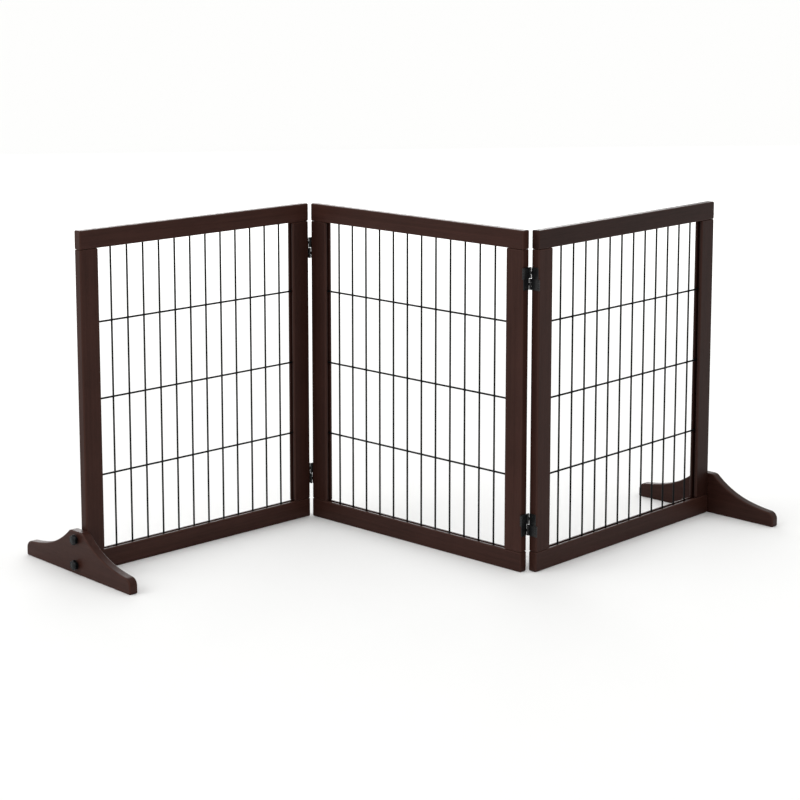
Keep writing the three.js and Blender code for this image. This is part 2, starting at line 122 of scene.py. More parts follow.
# Hinge
LEAF_THICKNESS = 0.8 * MM
LEAF_EDGE = THICKNESS / 2 - 1.2 * MM    # from the leaf's middle to its long edge
LEAF_CORNER = 1.4 * MM
LINK_THICKNESS = 0.8 * MM
BARREL_RADIUS = 2.0 * MM
PIN_RADIUS = 0.8 * MM
PIN_CLEARANCE = 0.2 * MM
PIN_HEAD = 1.25             # the riveted head's radius over the pin's
PIN_DOME = 0.3 * MM
PIN_NECK = 0.1 * MM         # from the web's end to the pin's plain length
BARREL_EASE = 0.3 * MM
EAR_HEIGHT = 6.0 * MM
HALF_SPLIT = HINGE_HEIGHT / 2 - LINK_HEIGHT
STEEL_EDGE = 0.18 * MM
SCREW_HEIGHTS = (-15.5 * MM, 15.5 * MM)
SCREW_HEAD = 2.6 * MM
SCREW_SHANK = 1.4 * MM
SCREW_LENGTH = 16.0 * MM
SCREW_PITCH = 1.6 * MM
SCREW_POINT = 4.0 * MM      # length of the tapered point
SCREW_TIP = 0.12            # the blunt tip's radius over the shank's
SCREW_PLAIN = 3.0 * MM      # length of the plain neck under the head
SCREW_THREAD = 0.3          # the thread's depth over the shank's radius
SCREW_RIM = 0.12 * MM
SCREW_DOME = 0.15 * MM
SCREW_CLEARANCE = 0.15 * MM
RECESS_ARM = 0.42 * MM      # half the width of the cross recess
RECESS_REACH = 1.55 * MM
RECESS_DEPTH = 0.8 * MM
THREAD_SIDES = 24
THREAD_ROWS = 6             # rows of points in one pitch

# Foot and knob
FOOT_LENGTH = 316.0 * MM
FOOT_HEIGHT = 78.0 * MM
FOOT_FLAT = 36.0 * MM
FOOT_TIP_HEIGHT = 28.0 * MM
FOOT_TIP_RADIUS = 14.0 * MM
FOOT_TOE_RADIUS = 3.0 * MM
FOOT_TIP_SWEEP = 83         # degrees of the tip's arc
FOOT_CORNER = 6.0 * MM
FOOT_SHOULDER = 4.0 * MM    # where the slope ends: out from the flat top and down from it
FOOT_SHOULDER_DROP = 2.0 * MM
FOOT_LOW_PULL = (0.61, 33.0 * MM)   # the slope's two control points: share of the half length, height
FOOT_HIGH_PULL = (0.37, 43.7 * MM)
FOOT_EDGE = 2.6 * MM
FOOT_BORE_MOUTH = (0.5 * MM, 0.8 * MM)  # depth and extra radius of the eased mouth of a bolt hole
BORE_SIDES = 28
KNOB_RADIUS = 9.5 * MM
KNOB_LOBES = 6
KNOB_LOBE_DEPTH = 1.6 * MM
KNOB_GRIP = 6.0 * MM
KNOB_BEVEL = 1.2 * MM
KNOB_SIDES = 72
COLLAR_RADIUS = 5.2 * MM
COLLAR_HEIGHT = 2.0 * MM
COLLAR_FLARE = 0.8 * MM     # how far the collar spreads where it meets the grip
LOBE_START = 2.0 * MM       # distance beyond the collar over which the lobes grow to full depth
STUD_RADIUS = 3.0 * MM
STUD_PITCH = 1.0 * MM
STUD_REACH = 20.0 * MM      # how far a stud goes into the panel
STUD_THREAD = 0.5 * MM
STUD_LEAD = 1.0 * MM        # length over which the thread starts
STUD_POINT = 0.8 * MM       # how much thinner the rod is at its end
STUD_SHORT = 0.2 * MM       # from the stud's top to the collar's underside


# ---------- places ----------

def shift(x=0.0, y=0.0, z=0.0):
    """A place moved by (x, y, z)."""
    place = np.eye(4)
    place[:3, 3] = (x, y, z)
    return place


def turn(axis, angle):
    """A place turned by angle (radians) about the x, y or z axis."""
    place = np.eye(4)
    first, second = {"x": (1, 2), "y": (2, 0), "z": (0, 1)}[axis]
    place[first, first] = place[second, second] = math.cos(angle)
    place[second, first] = math.sin(angle)
    place[first, second] = -math.sin(angle)
    return place


def fold_angle(side, outward):
    """How far a panel is turned from the straight position, from its knobs' axis, which points outwards."""
    x, y, _ = joints[f"{side}_upper_knob_turn"]["axis"]
    return math.atan2(outward * y, outward * x)


# Each panel's place has its origin on the floor under the panel's middle, x along it and y through it.
PANELS = {
    "middle": np.eye(4),
    "left": shift(*left_fold[:2]) @ turn("z", fold_angle("left", -1)) @ shift(-HALF_PITCH, PIN_Y),
    "right": shift(*right_fold[:2]) @ turn("z", fold_angle("right", 1)) @ shift(HALF_PITCH, -PIN_Y),
}
BODY_OF = {node: name for name, nodes in frame["record"]["behaviour"]["bodies"].items() for node in nodes}


# ---------- surfaces ----------

def arc(centre, radius, start, end, steps=ARC_STEPS):
    """Points at radius from centre, at equal angles from start to end degrees."""
    angle = np.radians(np.linspace(start, end, steps + 1))
    return np.stack([centre[0] + radius * np.cos(angle), centre[1] + radius * np.sin(angle)], axis=-1)


def circle(radius, sides):
    """Points at radius from the origin, once round, counter-clockwise."""
    angle = np.arange(sides) * 2 * math.pi / sides
    return radius * np.stack([np.cos(angle), np.sin(angle)], axis=-1)


def bezier(first, second, third, fourth, steps):
    """Cubic curve: the four points weighted by the terms of ((1 - t) + t) cubed, for t from 0 to 1."""
    t = np.linspace(0, 1, steps + 1)[:, None]
    points = [np.array(point) for point in (first, second, third, fourth)]
    weights = [(1 - t) ** 3, 3 * t * (1 - t) ** 2, 3 * t ** 2 * (1 - t), t ** 3]
    return sum(weight * point for weight, point in zip(weights, points))


def outward_normals(outline):
    """Unit normal at each point of a closed counter-clockwise outline: the line from the point before it to
    the point after it, turned a quarter turn clockwise."""
    chord = np.roll(outline, -1, axis=0) - np.roll(outline, 1, axis=0)
    normal = np.stack([chord[:, 1], -chord[:, 0]], axis=-1)
    return normal / np.linalg.norm(normal, axis=1, keepdims=True)


def side_quads(rows, columns, start=0):
    """The quads of a grid of rows by columns whose last column joins its first."""
    row, column = np.meshgrid(np.arange(rows - 1), np.arange(columns), indexing="ij")
    following = (column + 1) % columns
    corners = [row * columns + column, row * columns + following]
    corners += [(row + 1) * columns + following, (row + 1) * columns + column]
    return (np.stack(corners, axis=-1).reshape(-1, 4) + start).tolist()


class Form:
    """Points, faces and tags gathered for one piece. A tag is (along, across, through the grain, wear)."""

    def __init__(self):
        self.points, self.faces, self.tags, self.count = [], [], [], 0

    def add(self, points, faces, tags=None):
        """Takes points (n, 3) with faces that count from the first of them."""
        self.points.append(points)
        self.tags.append(np.zeros((len(points), 4)) if tags is None else tags)
        self.faces += [[index + self.count for index in face] for face in faces]
        self.count += len(points)

    def carried(self, rings, place, tags=None):
        """A closed body: rings (rows, columns, 3) run counter-clockwise about the way that they advance,
        joined by quads, with a flat face over the first and the last."""
        rows, columns, _ = rings.shape
        faces = side_quads(rows, columns)
        faces.append(list(range(columns))[::-1])
        faces.append(list(range((rows - 1) * columns, rows * columns)))
        self.add(moved(rings.reshape(-1, 3), place), faces, tags)

    def piece(self, name, material, smooth_below=40, painted_shade=None):
        """The mesh object, with its tags as the attributes grain and wear, and a painted shade factor the same all
        over.
        """
        mesh = bpy.data.meshes.new(name)
        mesh.from_pydata(np.concatenate(self.points).tolist(), [], self.faces)
        tags = np.concatenate(self.tags)
        if np.any(tags):
            grain = mesh.attributes.new("grain", "FLOAT_VECTOR", "POINT")
            grain.data.foreach_set("vector", tags[:, :3].ravel())
            wear = mesh.attributes.new("wear", "FLOAT", "POINT")
            wear.data.foreach_set("value", tags[:, 3])
        # Painted shade: one factor over the whole board that darkens its colour.
        if painted_shade is not None:
            depth = mesh.attributes.new("painted_shade", "FLOAT", "POINT")
            depth.data.foreach_set("value", np.full(len(tags), painted_shade))
        mesh.polygons.foreach_set("use_smooth", np.ones(len(mesh.polygons), bool))
        mesh.set_sharp_from_angle(angle=math.radians(smooth_below))
        mesh.materials.append(material)
        mesh.update()
        obj = bpy.data.objects.new(name, mesh)
        bpy.context.scene.collection.objects.link(obj)
        return obj


def moved(points, place):
    """Points (n, 3) put at a place."""
    return points @ place[:3, :3].T + place[:3, 3]


def stand_for(obj, node):
    """The piece replaces that CAD node and rides its body."""
    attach(obj, BODY_OF[node])
    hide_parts(node)
    return obj


def easing(radius, steps=ARC_STEPS):
    """A quarter circle as (depth from the face, draw-in of the outline): depth r(1 - cos a), draw-in
    r(1 - sin a), for a from 0 to a right angle, with a support row before and after it. The third value is
    the edge wear."""
    angle = np.linspace(0, math.pi / 2, steps + 1)
    depth, inset = radius * (1 - np.cos(angle)), radius * (1 - np.sin(angle))
    rows = np.stack([depth, inset, np.sin(2 * angle)], axis=-1)
    support = min(SUPPORT, radius)
    return np.concatenate([[[0, radius + support, 0]], rows, [[radius + support, 0, 0]]])


# ---------- timber ----------

def timber_section(width, thickness):
    """Closed section of a timber in (across, through), counter-clockwise: four quarter-circle corners joined
    by flats, with a groove sunk in the +across flat. Columns: across, through, normal across, normal through,
    groove depth, edge wear."""
    half_width, half_depth = width / 2, thickness / 2
    columns = []
    for corner in range(4):
        start = corner * 90 - 90
        signs = [(1, -1), (1, 1), (-1, 1), (-1, -1)][corner]
        centre = (signs[0] * (half_width - EDGE), signs[1] * (half_depth - EDGE))
        angle = np.radians(np.linspace(start, start + 90, ARC_STEPS + 1))
        normal = np.stack([np.cos(angle), np.sin(angle)], axis=-1)
        points = np.array(centre) + EDGE * normal
        wear = np.abs(np.sin(2 * angle))
        tangent = np.stack([-normal[:, 1], normal[:, 0]], axis=-1)
        before, after = points[0] - SUPPORT * tangent[0], points[-1] + SUPPORT * tangent[-1]
        points = np.concatenate([[before], points, [after]])
        normal = np.concatenate([normal[:1], normal, normal[-1:]])
        wear = np.concatenate([[0], wear, [0]])
        columns.append(np.column_stack([points, normal, np.zeros(len(points)), wear]))
        if corner == 0:
            columns.append(groove_columns(half_width))
    return np.concatenate(columns)


def groove_columns(half_width):
    """The groove's part of a section: a rounded lip, a wall and half the floor, and their mirror image."""
    half = GROOVE_WIDTH / 2
    angle = np.linspace(0, math.pi / 2, 4)
    lip = half + GROOVE_LIP * (1 - np.sin(angle))
    through = np.concatenate([[half + GROOVE_LIP + SUPPORT], lip, [half - GROOVE_LEAN]])
    depth = np.concatenate([[0], GROOVE_LIP * (1 - np.cos(angle)), [GROOVE_DEPTH]])
    wear = np.concatenate([[0], np.sin(2 * angle) * 0.7, [0]])
    through = np.concatenate([-through, through[::-1]])
    depth = np.concatenate([depth, depth[::-1]])
    wear = np.concatenate([wear, wear[::-1]])
    count = len(through)
    return np.column_stack([
        np.full(count, half_width), through, np.ones(count), np.zeros(count), depth, wear,
    ])


def timber(form, place, width, thickness, length, groove, stop=0.0, seed=0, edge=END_EDGE):
    """A length of timber along z, its width along x and its thickness along y. Its section is drawn in along
    its normals by the easing at both ends, and the groove has its full depth between the stops."""
    section = timber_section(width, thickness)
    ends = easing(edge)
    stations = [(depth, inset, wear, 1.0 if groove and not stop else 0.0) for depth, inset, wear in ends]
    if groove and stop:
        stations += [(stop - STOP_SLOPE, 0, 0, 0.0), (stop, 0, 0, 1.0)]
    rows = np.array(stations)
    mirrored = rows[::-1].copy()
    mirrored[:, 0] = length - mirrored[:, 0]
    rows = np.concatenate([rows, mirrored])
    station, inset, row_wear, grooved = rows.T[:, :, None]
    across, through, normal_a, normal_t, depth, wear = section.T[:, None, :]
    sunk = np.where(normal_a > 0.99, np.maximum(depth * grooved, inset), inset * normal_a)
    points = np.stack(np.broadcast_arrays(
        across - sunk, through - inset * normal_t, station - length / 2,
    ), axis=-1)
    wear = np.broadcast_to(np.maximum(row_wear, wear), points.shape[:2])
    tags = grain_tags(points[..., 2], points[..., 0], points[..., 1], wear, seed)
    form.carried(points, place, tags)


def grain_tags(along, across, through, wear, seed):
    """Grain coordinates of one board. Each board is cut from its own place in the tree: seed steps along,
    across and through it by lengths with no common measure."""
    grain = [values + seed * step for values, step in zip((along, across, through), GRAIN_STEPS)]
    return np.stack([*grain, wear], axis=-1).reshape(-1, 4)


# Painted shade: a factor on each board's stain colour. It is below 1 on the right panel's boards and its foot,
# which face the dimmer side of the light, and on the middle bottom rail and the stiles at the folds, where the
# panels shade each other.
BOARD_PAINTED_SHADE = {
    "right_top_rail": 0.55, "right_right_stile": 0.62, "right_left_stile": 0.85, "right_bottom_rail": 0.85,
    "right_foot": 0.8, "middle_bottom_rail": 0.88, "left_right_stile": 0.85, "middle_left_stile": 0.85,
}


def board(form, name):
    """The finished timber of one piece, darkened by its own painted shade."""
    return form.piece(f"{name}_timber", WOOD, painted_shade=BOARD_PAINTED_SHADE.get(name, 1.0))


def add_panel_timber(panel, seed):
    """The two rails and two stiles of one panel."""
    at = PANELS[panel]
    # A rail lies along x: its own z is turned to x, and its +x, the grooved side, faces up or down.
    lying = turn("y", math.pi / 2)
    rails = {
        "top_rail": (TOP_RAIL_HEIGHT, PANEL_HEIGHT - TOP_RAIL_HEIGHT / 2, lying),
        "bottom_rail": (BOTTOM_RAIL_HEIGHT, BOTTOM_RAIL_HEIGHT / 2, lying @ turn("z", math.pi)),
    }
    for number, (name, (height, z, way)) in enumerate(rails.items()):
        form = Form()
        timber(form, at @ shift(z=z) @ way, height, THICKNESS, PANEL_WIDTH, True, GROOVE_STOP, seed + number)
        stand_for(board(form, f"{panel}_{name}"), f"{panel}_{name}")

    low = BOTTOM_RAIL_HEIGHT + CLEARANCE
    high = PANEL_HEIGHT - TOP_RAIL_HEIGHT - CLEARANCE
    reach = (PANEL_WIDTH - STILE_WIDTH) / 2
    tongue_from = -STILE_WIDTH / 2 + GROOVE_STOP + CLEARANCE
    tongue_to = STILE_WIDTH / 2 - GROOVE_DEPTH - CLEARANCE
    tongue_height = high - low + 2 * (GROOVE_DEPTH - CLEARANCE)
    for number, (side, x, angle) in enumerate((("left", -reach, 0.0), ("right", reach, math.pi))):
        form = Form()
        stile_at = at @ shift(x=x, z=(low + high) / 2) @ turn("z", angle)
        timber(form, stile_at, STILE_WIDTH, THICKNESS, high - low, True, seed=seed + 2 + number)
        tongue(form, stile_at, tongue_from, tongue_to, GROOVE_WIDTH - 2 * CLEARANCE, tongue_height)
        stand_for(board(form, f"{panel}_{side}_stile"), f"{panel}_{side}_stile")


def tongue(form, place, x_from, x_to, thickness, height):
    """The tongue through a stile that fills the rails' grooves: a rectangle carried up z, chamfered at each
    end."""
    corners = np.array([[x_from, -1], [x_to, -1], [x_to, 1], [x_from, 1]]) * (1, thickness / 2)
    middle = corners.mean(axis=0)
    shrink = 1 - 2 * TONGUE_CHAMFER / np.ptp(corners, axis=0)
    rings = []
    top = height / 2
    full = top - TONGUE_CHAMFER
    for z, scale in ((-top, shrink), (-full, 1), (full, 1), (top, shrink)):
        ring = middle + (corners - middle) * scale
        rings.append(np.column_stack([ring, np.full(4, z)]))
    rings = np.array(rings)
    tags = grain_tags(rings[..., 2], rings[..., 0], rings[..., 1], np.zeros(rings.shape[:2]), 0)
    form.carried(rings, place, tags)


# ---------- plates cut to an outline ----------

def plate(form, place, outline, thickness, edge, bores=(), seed=None):
    """A plate in (x, y), thick along +z from 0: the outline carried through the thickness and drawn in along
    its normals near both faces by the easing. Each bore is ((x, y), [(depth, radius), ...]): a circle carried
    from face to face with its own radius at each depth, and the faces are triangles between outline and
    circles. A plate with a seed is timber, with its grain along x."""
    normals = outward_normals(outline)
    rows = easing(edge)
    mirrored = rows[::-1].copy()
    mirrored[:, 0] = thickness - mirrored[:, 0]
    rows = np.concatenate([rows, mirrored])
    inset = rows[:, 1, None, None]
    flat = outline[None] - inset * normals[None]
    depth = np.broadcast_to(rows[:, 0, None, None], flat.shape[:2] + (1,))
    rings = np.concatenate([flat, depth], axis=-1)
    count, columns = rings.shape[:2]
    points = [rings.reshape(-1, 3)]
    faces = side_quads(count, columns)
    wear = np.repeat(rows[:, 2], columns)
    # Index of the first point of each loop on the first and last face.
    first_loops = [np.arange(columns)]
    last_loops = [np.arange(columns) + (count - 1) * columns]
    total = count * columns
    for (x, y), steps in bores:
        walls = np.stack([
            np.column_stack([circle(radius, BORE_SIDES) + (x, y), np.full(BORE_SIDES, z)])
            for z, radius in steps
        ])
        points.append(walls.reshape(-1, 3))
        # Turned round, so that the bore's wall faces its own axis.
        faces += [quad[::-1] for quad in side_quads(len(steps), BORE_SIDES, total)]
        first_loops.append(np.arange(BORE_SIDES) + total)
        last_loops.append(np.arange(BORE_SIDES) + total + (len(steps) - 1) * BORE_SIDES)
        total += len(steps) * BORE_SIDES
        wear = np.concatenate([wear, np.zeros(len(steps) * BORE_SIDES)])
    points = np.concatenate(points)
    for loops, facing in ((first_loops, -1), (last_loops, 1)):
        faces += face_between(points, loops, facing)
    tags = None if seed is None else grain_tags(*points.T, wear, seed)
    form.add(moved(points, place), faces, tags)


def face_between(points, loops, facing):
    """A flat face between an outer loop and any holes, as triangles turned to face +z or -z. Without holes it
    is the loop itself."""
    if len(loops) == 1:
        return [loops[0].tolist()[::facing]]
    order = np.concatenate(loops)
    flat = [[Vector((points[i, 0], points[i, 1], 0)) for i in loop] for loop in loops]
    triangles = order[np.array(tessellate_polygon(flat))]
    corner = points[triangles][:, :, :2]
    one, two = corner[:, 1] - corner[:, 0], corner[:, 2] - corner[:, 0]
    area = one[:, 0] * two[:, 1] - one[:, 1] * two[:, 0]
    wrong = area * facing < 0
    triangles[wrong] = triangles[wrong][:, ::-1]
    return triangles[np.abs(area) > 1e-14].tolist()


# ---------- wire ----------

def wire(form, place, length):
    """A wire along z from 0: a circle carried along, drawn in by half its radius at the cut ends."""
    chamfer = WIRE_RADIUS / 2
    stations = [(0, 0.5), (chamfer * 0.3, 0.85), (chamfer, 1)]
    stations += [(length - z, scale) for z, scale in stations[::-1]]
    outline = circle(WIRE_RADIUS, WIRE_SIDES)
    rings = np.stack([np.column_stack([outline * scale, np.full(WIRE_SIDES, z)]) for z, scale in stations])
    form.carried(rings, place)


def weld(form, place):
    """The nugget where two wires cross: an ellipsoid, radius times cos and sin of the latitude, flattened."""
    latitude = np.radians(np.linspace(-75, 75, 6))
    outline = circle(1.0, WELD_SIDES)
    rings = np.stack([
        np.column_stack([outline * math.cos(a), np.full(WELD_SIDES, math.sin(a))]) for a in latitude
    ])
    form.carried(rings * WELD_NUGGET, place)


def add_wire_panel(panel):
    """Twelve uprights in front and three cross wires behind, pressed into each other at every weld."""
    at = PANELS[panel]
    offset = WIRE_RADIUS - WELD_DEPTH / 2
    low, high = wire_low[2], wire_high[2]
    span = wire_high[0] - wire_low[0]
    columns = (np.arange(UPRIGHT_WIRES) - (UPRIGHT_WIRES - 1) / 2) * UPRIGHT_PITCH
    heights = CROSS_MIDDLE + (np.arange(CROSS_WIRES) - (CROSS_WIRES - 1) / 2) * CROSS_PITCH
    form = Form()
    for x in columns:
        wire(form, at @ shift(x, -offset, low), high - low)
    for z in heights:
        wire(form, at @ shift(-span / 2, offset, z) @ turn("y", math.pi / 2), span)
        for x in columns:
            weld(form, at @ shift(x, 0, z))
    stand_for(form.piece(f"{panel}_welded_wire", WIRE), f"{panel}_wire_panel")


# ---------- hinge ----------

LEAF_OUTER = HINGE_GAP / 2 - CLEARANCE
LEAF_INNER = LEAF_OUTER - LEAF_THICKNESS
EAR_MIDDLE = HALF_SPLIT + LINK_HEIGHT / 2


def rounded_rectangle(half_x, half_y, radius, steps=4):
    """A closed rectangle round the origin with quarter-circle corners, counter-clockwise."""
    inner = ((half_x - radius, -half_y + radius), (half_x - radius, half_y - radius))
    outer = ((-half_x + radius, half_y - radius), (-half_x + radius, -half_y + radius))
    arcs = [arc(centre, radius, k * 90 - 90, k * 90, steps) for k, centre in enumerate(inner + outer)]
    return np.concatenate(arcs)


def curl_outline():
    """Section of a leaf's ear, in (x, y) with the pin at the origin and the leaf towards +y: a circle round
    the pin, left open between the two sides of the sheet that runs into it and overlaps the leaf."""
    outer = math.degrees(math.acos(-LEAF_OUTER / BARREL_RADIUS))
    inner = math.degrees(math.acos(-LEAF_INNER / BARREL_RADIUS))
    overlap = 1.2 * MM
    sheet_end = PIN_Y - LEAF_EDGE + overlap
    knuckle = arc((0, 0), BARREL_RADIUS, outer, 360 + inner, 30)
    return np.concatenate([knuckle, [[-LEAF_INNER, sheet_end], [-LEAF_OUTER, sheet_end]]])


def add_leaf(name, place, node):
    """The left leaf: a plate with two countersunk holes on the timber's edge, and an ear round the front pin
    in the upper half and round the rear pin in the lower half."""
    form = Form()
    # The plate's outline lies in (y, z), and its thickness runs along x.
    standing = turn("z", math.pi / 2) @ turn("x", math.pi / 2)
    outline = rounded_rectangle(LEAF_EDGE, HINGE_HEIGHT / 2, LEAF_CORNER)
    shank_hole, head_hole = SCREW_SHANK + SCREW_CLEARANCE, SCREW_HEAD + SCREW_CLEARANCE
    holes = [((0.0, z), [
        (0.0, shank_hole),
        (0.25 * MM, shank_hole),
        (LEAF_THICKNESS - 0.1 * MM, head_hole),
        (LEAF_THICKNESS, head_hole),
    ]) for z in SCREW_HEIGHTS]
    plate(form, place @ shift(x=-LEAF_OUTER) @ standing, outline, LEAF_THICKNESS, STEEL_EDGE, holes)
    bore = [((0.0, 0.0), [(depth, PIN_RADIUS + PIN_CLEARANCE) for depth in (0.0, EAR_HEIGHT)])]
    curl = curl_outline()
    # The rear ear is the front one turned over about the x axis.
    for flip in (0.0, math.pi):
        ear = place @ turn("x", flip) @ shift(y=-PIN_Y, z=EAR_MIDDLE - EAR_HEIGHT / 2)
        plate(form, ear, curl, EAR_HEIGHT, STEEL_EDGE / 2, bore)
    stand_for(form.piece(f"{name}_steel", STEEL), node)


def turned(form, place, profile, sides=24):
    """A turned piece about z: a circle whose radius at each height is the profile's (height, radius)."""
    unit = circle(1.0, sides)
    rings = np.stack([np.column_stack([unit * radius, np.full(sides, z)]) for z, radius in profile])
    form.carried(rings, place)


def add_link(name, place, node):
    """The upper link: a web notched round each ear, two barrels on each pin and two riveted pins with domed
    heads."""
    form = Form()
    low, high = HALF_SPLIT, HALF_SPLIT + LINK_HEIGHT
    ear_low = EAR_MIDDLE - EAR_HEIGHT / 2 - CLEARANCE
    ear_high = EAR_MIDDLE + EAR_HEIGHT / 2 + CLEARANCE
    notch = PIN_Y - BARREL_RADIUS - CLEARANCE
    # The web's outline in (y, z), counter-clockwise: full width at the barrels and narrow beside the ears.
    steps = [(low, 0), (ear_low, 0), (ear_low, 1), (ear_high, 1), (ear_high, 0), (high, 0)]
    right_side = np.array([((PIN_Y, notch)[narrow], z) for z, narrow in steps])
    outline = np.concatenate([right_side, right_side[::-1] * (-1, 1)])
    standing = turn("z", math.pi / 2) @ turn("x", math.pi / 2)
    rings = np.stack([
        np.column_stack([outline, np.full(len(outline), depth)]) for depth in (0.0, LINK_THICKNESS)
    ])
    form.carried(rings, place @ shift(x=-LINK_THICKNESS / 2) @ standing)
    # A barrel's rounded end as (distance from the end, draw-in).
    end = [(0.0, BARREL_EASE), (BARREL_EASE * 0.3, BARREL_EASE * 0.3), (BARREL_EASE, 0.0)]
    for bottom, top in ((low, ear_low), (ear_high, high)):
        barrel = [(bottom + depth, BARREL_RADIUS - inset) for depth, inset in end]
        barrel += [(top - depth, BARREL_RADIUS - inset) for depth, inset in end[::-1]]
        for side in (-1, 1):
            turned(form, place @ shift(y=side * PIN_Y), barrel)
    # Half a riveted head as (distance below its top, radius): part of an ellipse.
    latitude = np.radians(np.linspace(75, 15, 5))
    head = [(PIN_DOME * (1 - math.sin(a)), PIN_HEAD * PIN_RADIUS * math.cos(a)) for a in latitude]
    pin = [(low - PIN_DOME + z, radius) for z, radius in head]
    pin += [(low + PIN_NECK, PIN_RADIUS), (high - PIN_NECK, PIN_RADIUS)]
    pin += [(high + PIN_DOME - z, radius) for z, radius in head[::-1]]
    for side in (-1, 1):
        turned(form, place @ shift(y=side * PIN_Y), pin, 16)
    stand_for(form.piece(f"{name}_steel", STEEL), node)


# Share of a turn at each side of a threaded piece.
THREAD_TURN = np.arange(THREAD_SIDES)[None] / THREAD_SIDES


def thread_wave(height, pitch):
    """A thread's triangle wave, from 0 to 1 and back, of height over pitch less the share of a turn."""
    return np.abs(((height / pitch - THREAD_TURN) % 1.0) * 2 - 1)


def add_leaf_screw(name, place, node):
    """A countersunk screw of the left leaf, pointing along -x: a tapered shank cut by the thread's wave, a
    conical head, and a cross sunk where |x| or |y| is small."""
    form = Form()
    shank = np.arange(0.0, SCREW_LENGTH, SCREW_PITCH / THREAD_ROWS)[:, None]
    threaded = shank < SCREW_LENGTH - SCREW_PLAIN
    taper = np.clip(shank / SCREW_POINT, SCREW_TIP, 1.0)
    shank_radius = taper * SCREW_SHANK * (1 - SCREW_THREAD * thread_wave(shank, SCREW_PITCH) * threaded)
    head_height = SCREW_LENGTH + np.array([0, LEAF_THICKNESS, LEAF_THICKNESS + SCREW_RIM])[:, None]
    head_radius = np.array([SCREW_SHANK, SCREW_HEAD, SCREW_HEAD - 0.05 * MM])[:, None]
    # The head's top runs in to the middle: a low dome, less the cross with its sloping walls.
    inward = np.linspace(0.94, 0.03, 14)[:, None] * SCREW_HEAD
    angle = THREAD_TURN * 2 * math.pi
    arm = inward * np.minimum(np.abs(np.cos(angle)), np.abs(np.sin(angle)))
    cross = np.clip((RECESS_ARM - arm) / (0.12 * MM), 0, 1)
    cross = cross * np.clip((RECESS_REACH - inward) / (0.25 * MM), 0, 1)
    dome = SCREW_DOME * (1 - (inward / SCREW_HEAD) ** 2) + SCREW_RIM
    top = SCREW_LENGTH + LEAF_THICKNESS + np.minimum(dome, SCREW_DOME) - RECESS_DEPTH * cross
    level_rows = [np.broadcast_to(rows, (len(rows), THREAD_SIDES)) for rows in (shank, head_height)]
    height = np.concatenate([*level_rows, top])
    round_rows = [np.broadcast_to(rows, (len(rows), THREAD_SIDES)) for rows in (head_radius, inward)]
    radius = np.concatenate([shank_radius, *round_rows])
    rings = np.stack([radius * np.cos(angle), radius * np.sin(angle), height], axis=-1)
    # z runs from the point to the head, which faces +x.
    lying = shift(x=-LEAF_OUTER - SCREW_LENGTH) @ turn("y", math.pi / 2)
    form.carried(rings, place @ lying)
    stand_for(form.piece(f"{name}_steel", STEEL, 50), node)


def add_hinge(line, level, left_panel, right_panel):
    """One two-way hinge. Its upper link stays with the middle panel and its lower link goes with the other
    panel."""
    z = HINGE_HEIGHTS[level]
    name = f"{line}_{level}_hinge"
    gap = {
        left_panel: PANELS[left_panel] @ shift(HALF_PITCH, 0, z),
        right_panel: PANELS[right_panel] @ shift(-HALF_PITCH, 0, z),
    }
    folding = right_panel if left_panel == "middle" else left_panel
    half_turn = turn("z", math.pi)
    add_leaf(f"{name}_left_leaf", gap[left_panel], f"{name}_left_leaf")
    add_leaf(f"{name}_right_leaf", gap[right_panel] @ half_turn, f"{name}_right_leaf")
    add_link(f"{name}_upper_link", gap["middle"], f"{name}_upper_link")
    add_link(f"{name}_lower_link", gap[folding] @ turn("y", math.pi), f"{name}_lower_link")
    for number, height in enumerate(SCREW_HEIGHTS, 1):
        left_at = gap[left_panel] @ shift(z=height)
        right_at = gap[right_panel] @ shift(z=height) @ half_turn
        add_leaf_screw(f"{name}_left_screw_{number}", left_at, f"{name}_left_screw_{number}")
        add_leaf_screw(f"{name}_right_screw_{number}", right_at, f"{name}_right_screw_{number}")


# ---------- foot and knobs ----------

def foot_outline():
    """Side of a foot in (x across, y up), counter-clockwise: a flat base, a toe of two arcs, a hollow slope
    up to the level top, and the mirror image of all that."""
    half = FOOT_LENGTH / 2
    flat = FOOT_FLAT / 2
    toe_x, toe_y = half - FOOT_TIP_RADIUS, FOOT_TIP_HEIGHT - FOOT_TIP_RADIUS
    toe = arc((half - FOOT_TOE_RADIUS, FOOT_TOE_RADIUS), FOOT_TOE_RADIUS, -90, 0, 6)
    tip = arc((toe_x, toe_y), FOOT_TIP_RADIUS, 0, FOOT_TIP_SWEEP, 14)
    low_pull, high_pull = ((half * share, height) for share, height in (FOOT_LOW_PULL, FOOT_HIGH_PULL))
    shoulder = (flat + FOOT_SHOULDER, FOOT_HEIGHT - FOOT_SHOULDER_DROP)
    slope = bezier(tip[-1], low_pull, high_pull, shoulder, 26)
    corner = bezier(
        slope[-1], (flat + 1.4 * MM, FOOT_HEIGHT - 0.7 * MM),
        (flat - 2 * MM, FOOT_HEIGHT), (flat - FOOT_CORNER, FOOT_HEIGHT), 6,
    )
    base = np.array([[half * 0.5, 0.0]])
    right_half = np.concatenate([base, toe, tip, slope[1:], corner[1:]])
    return np.concatenate([right_half, right_half[::-1] * (-1, 1)])


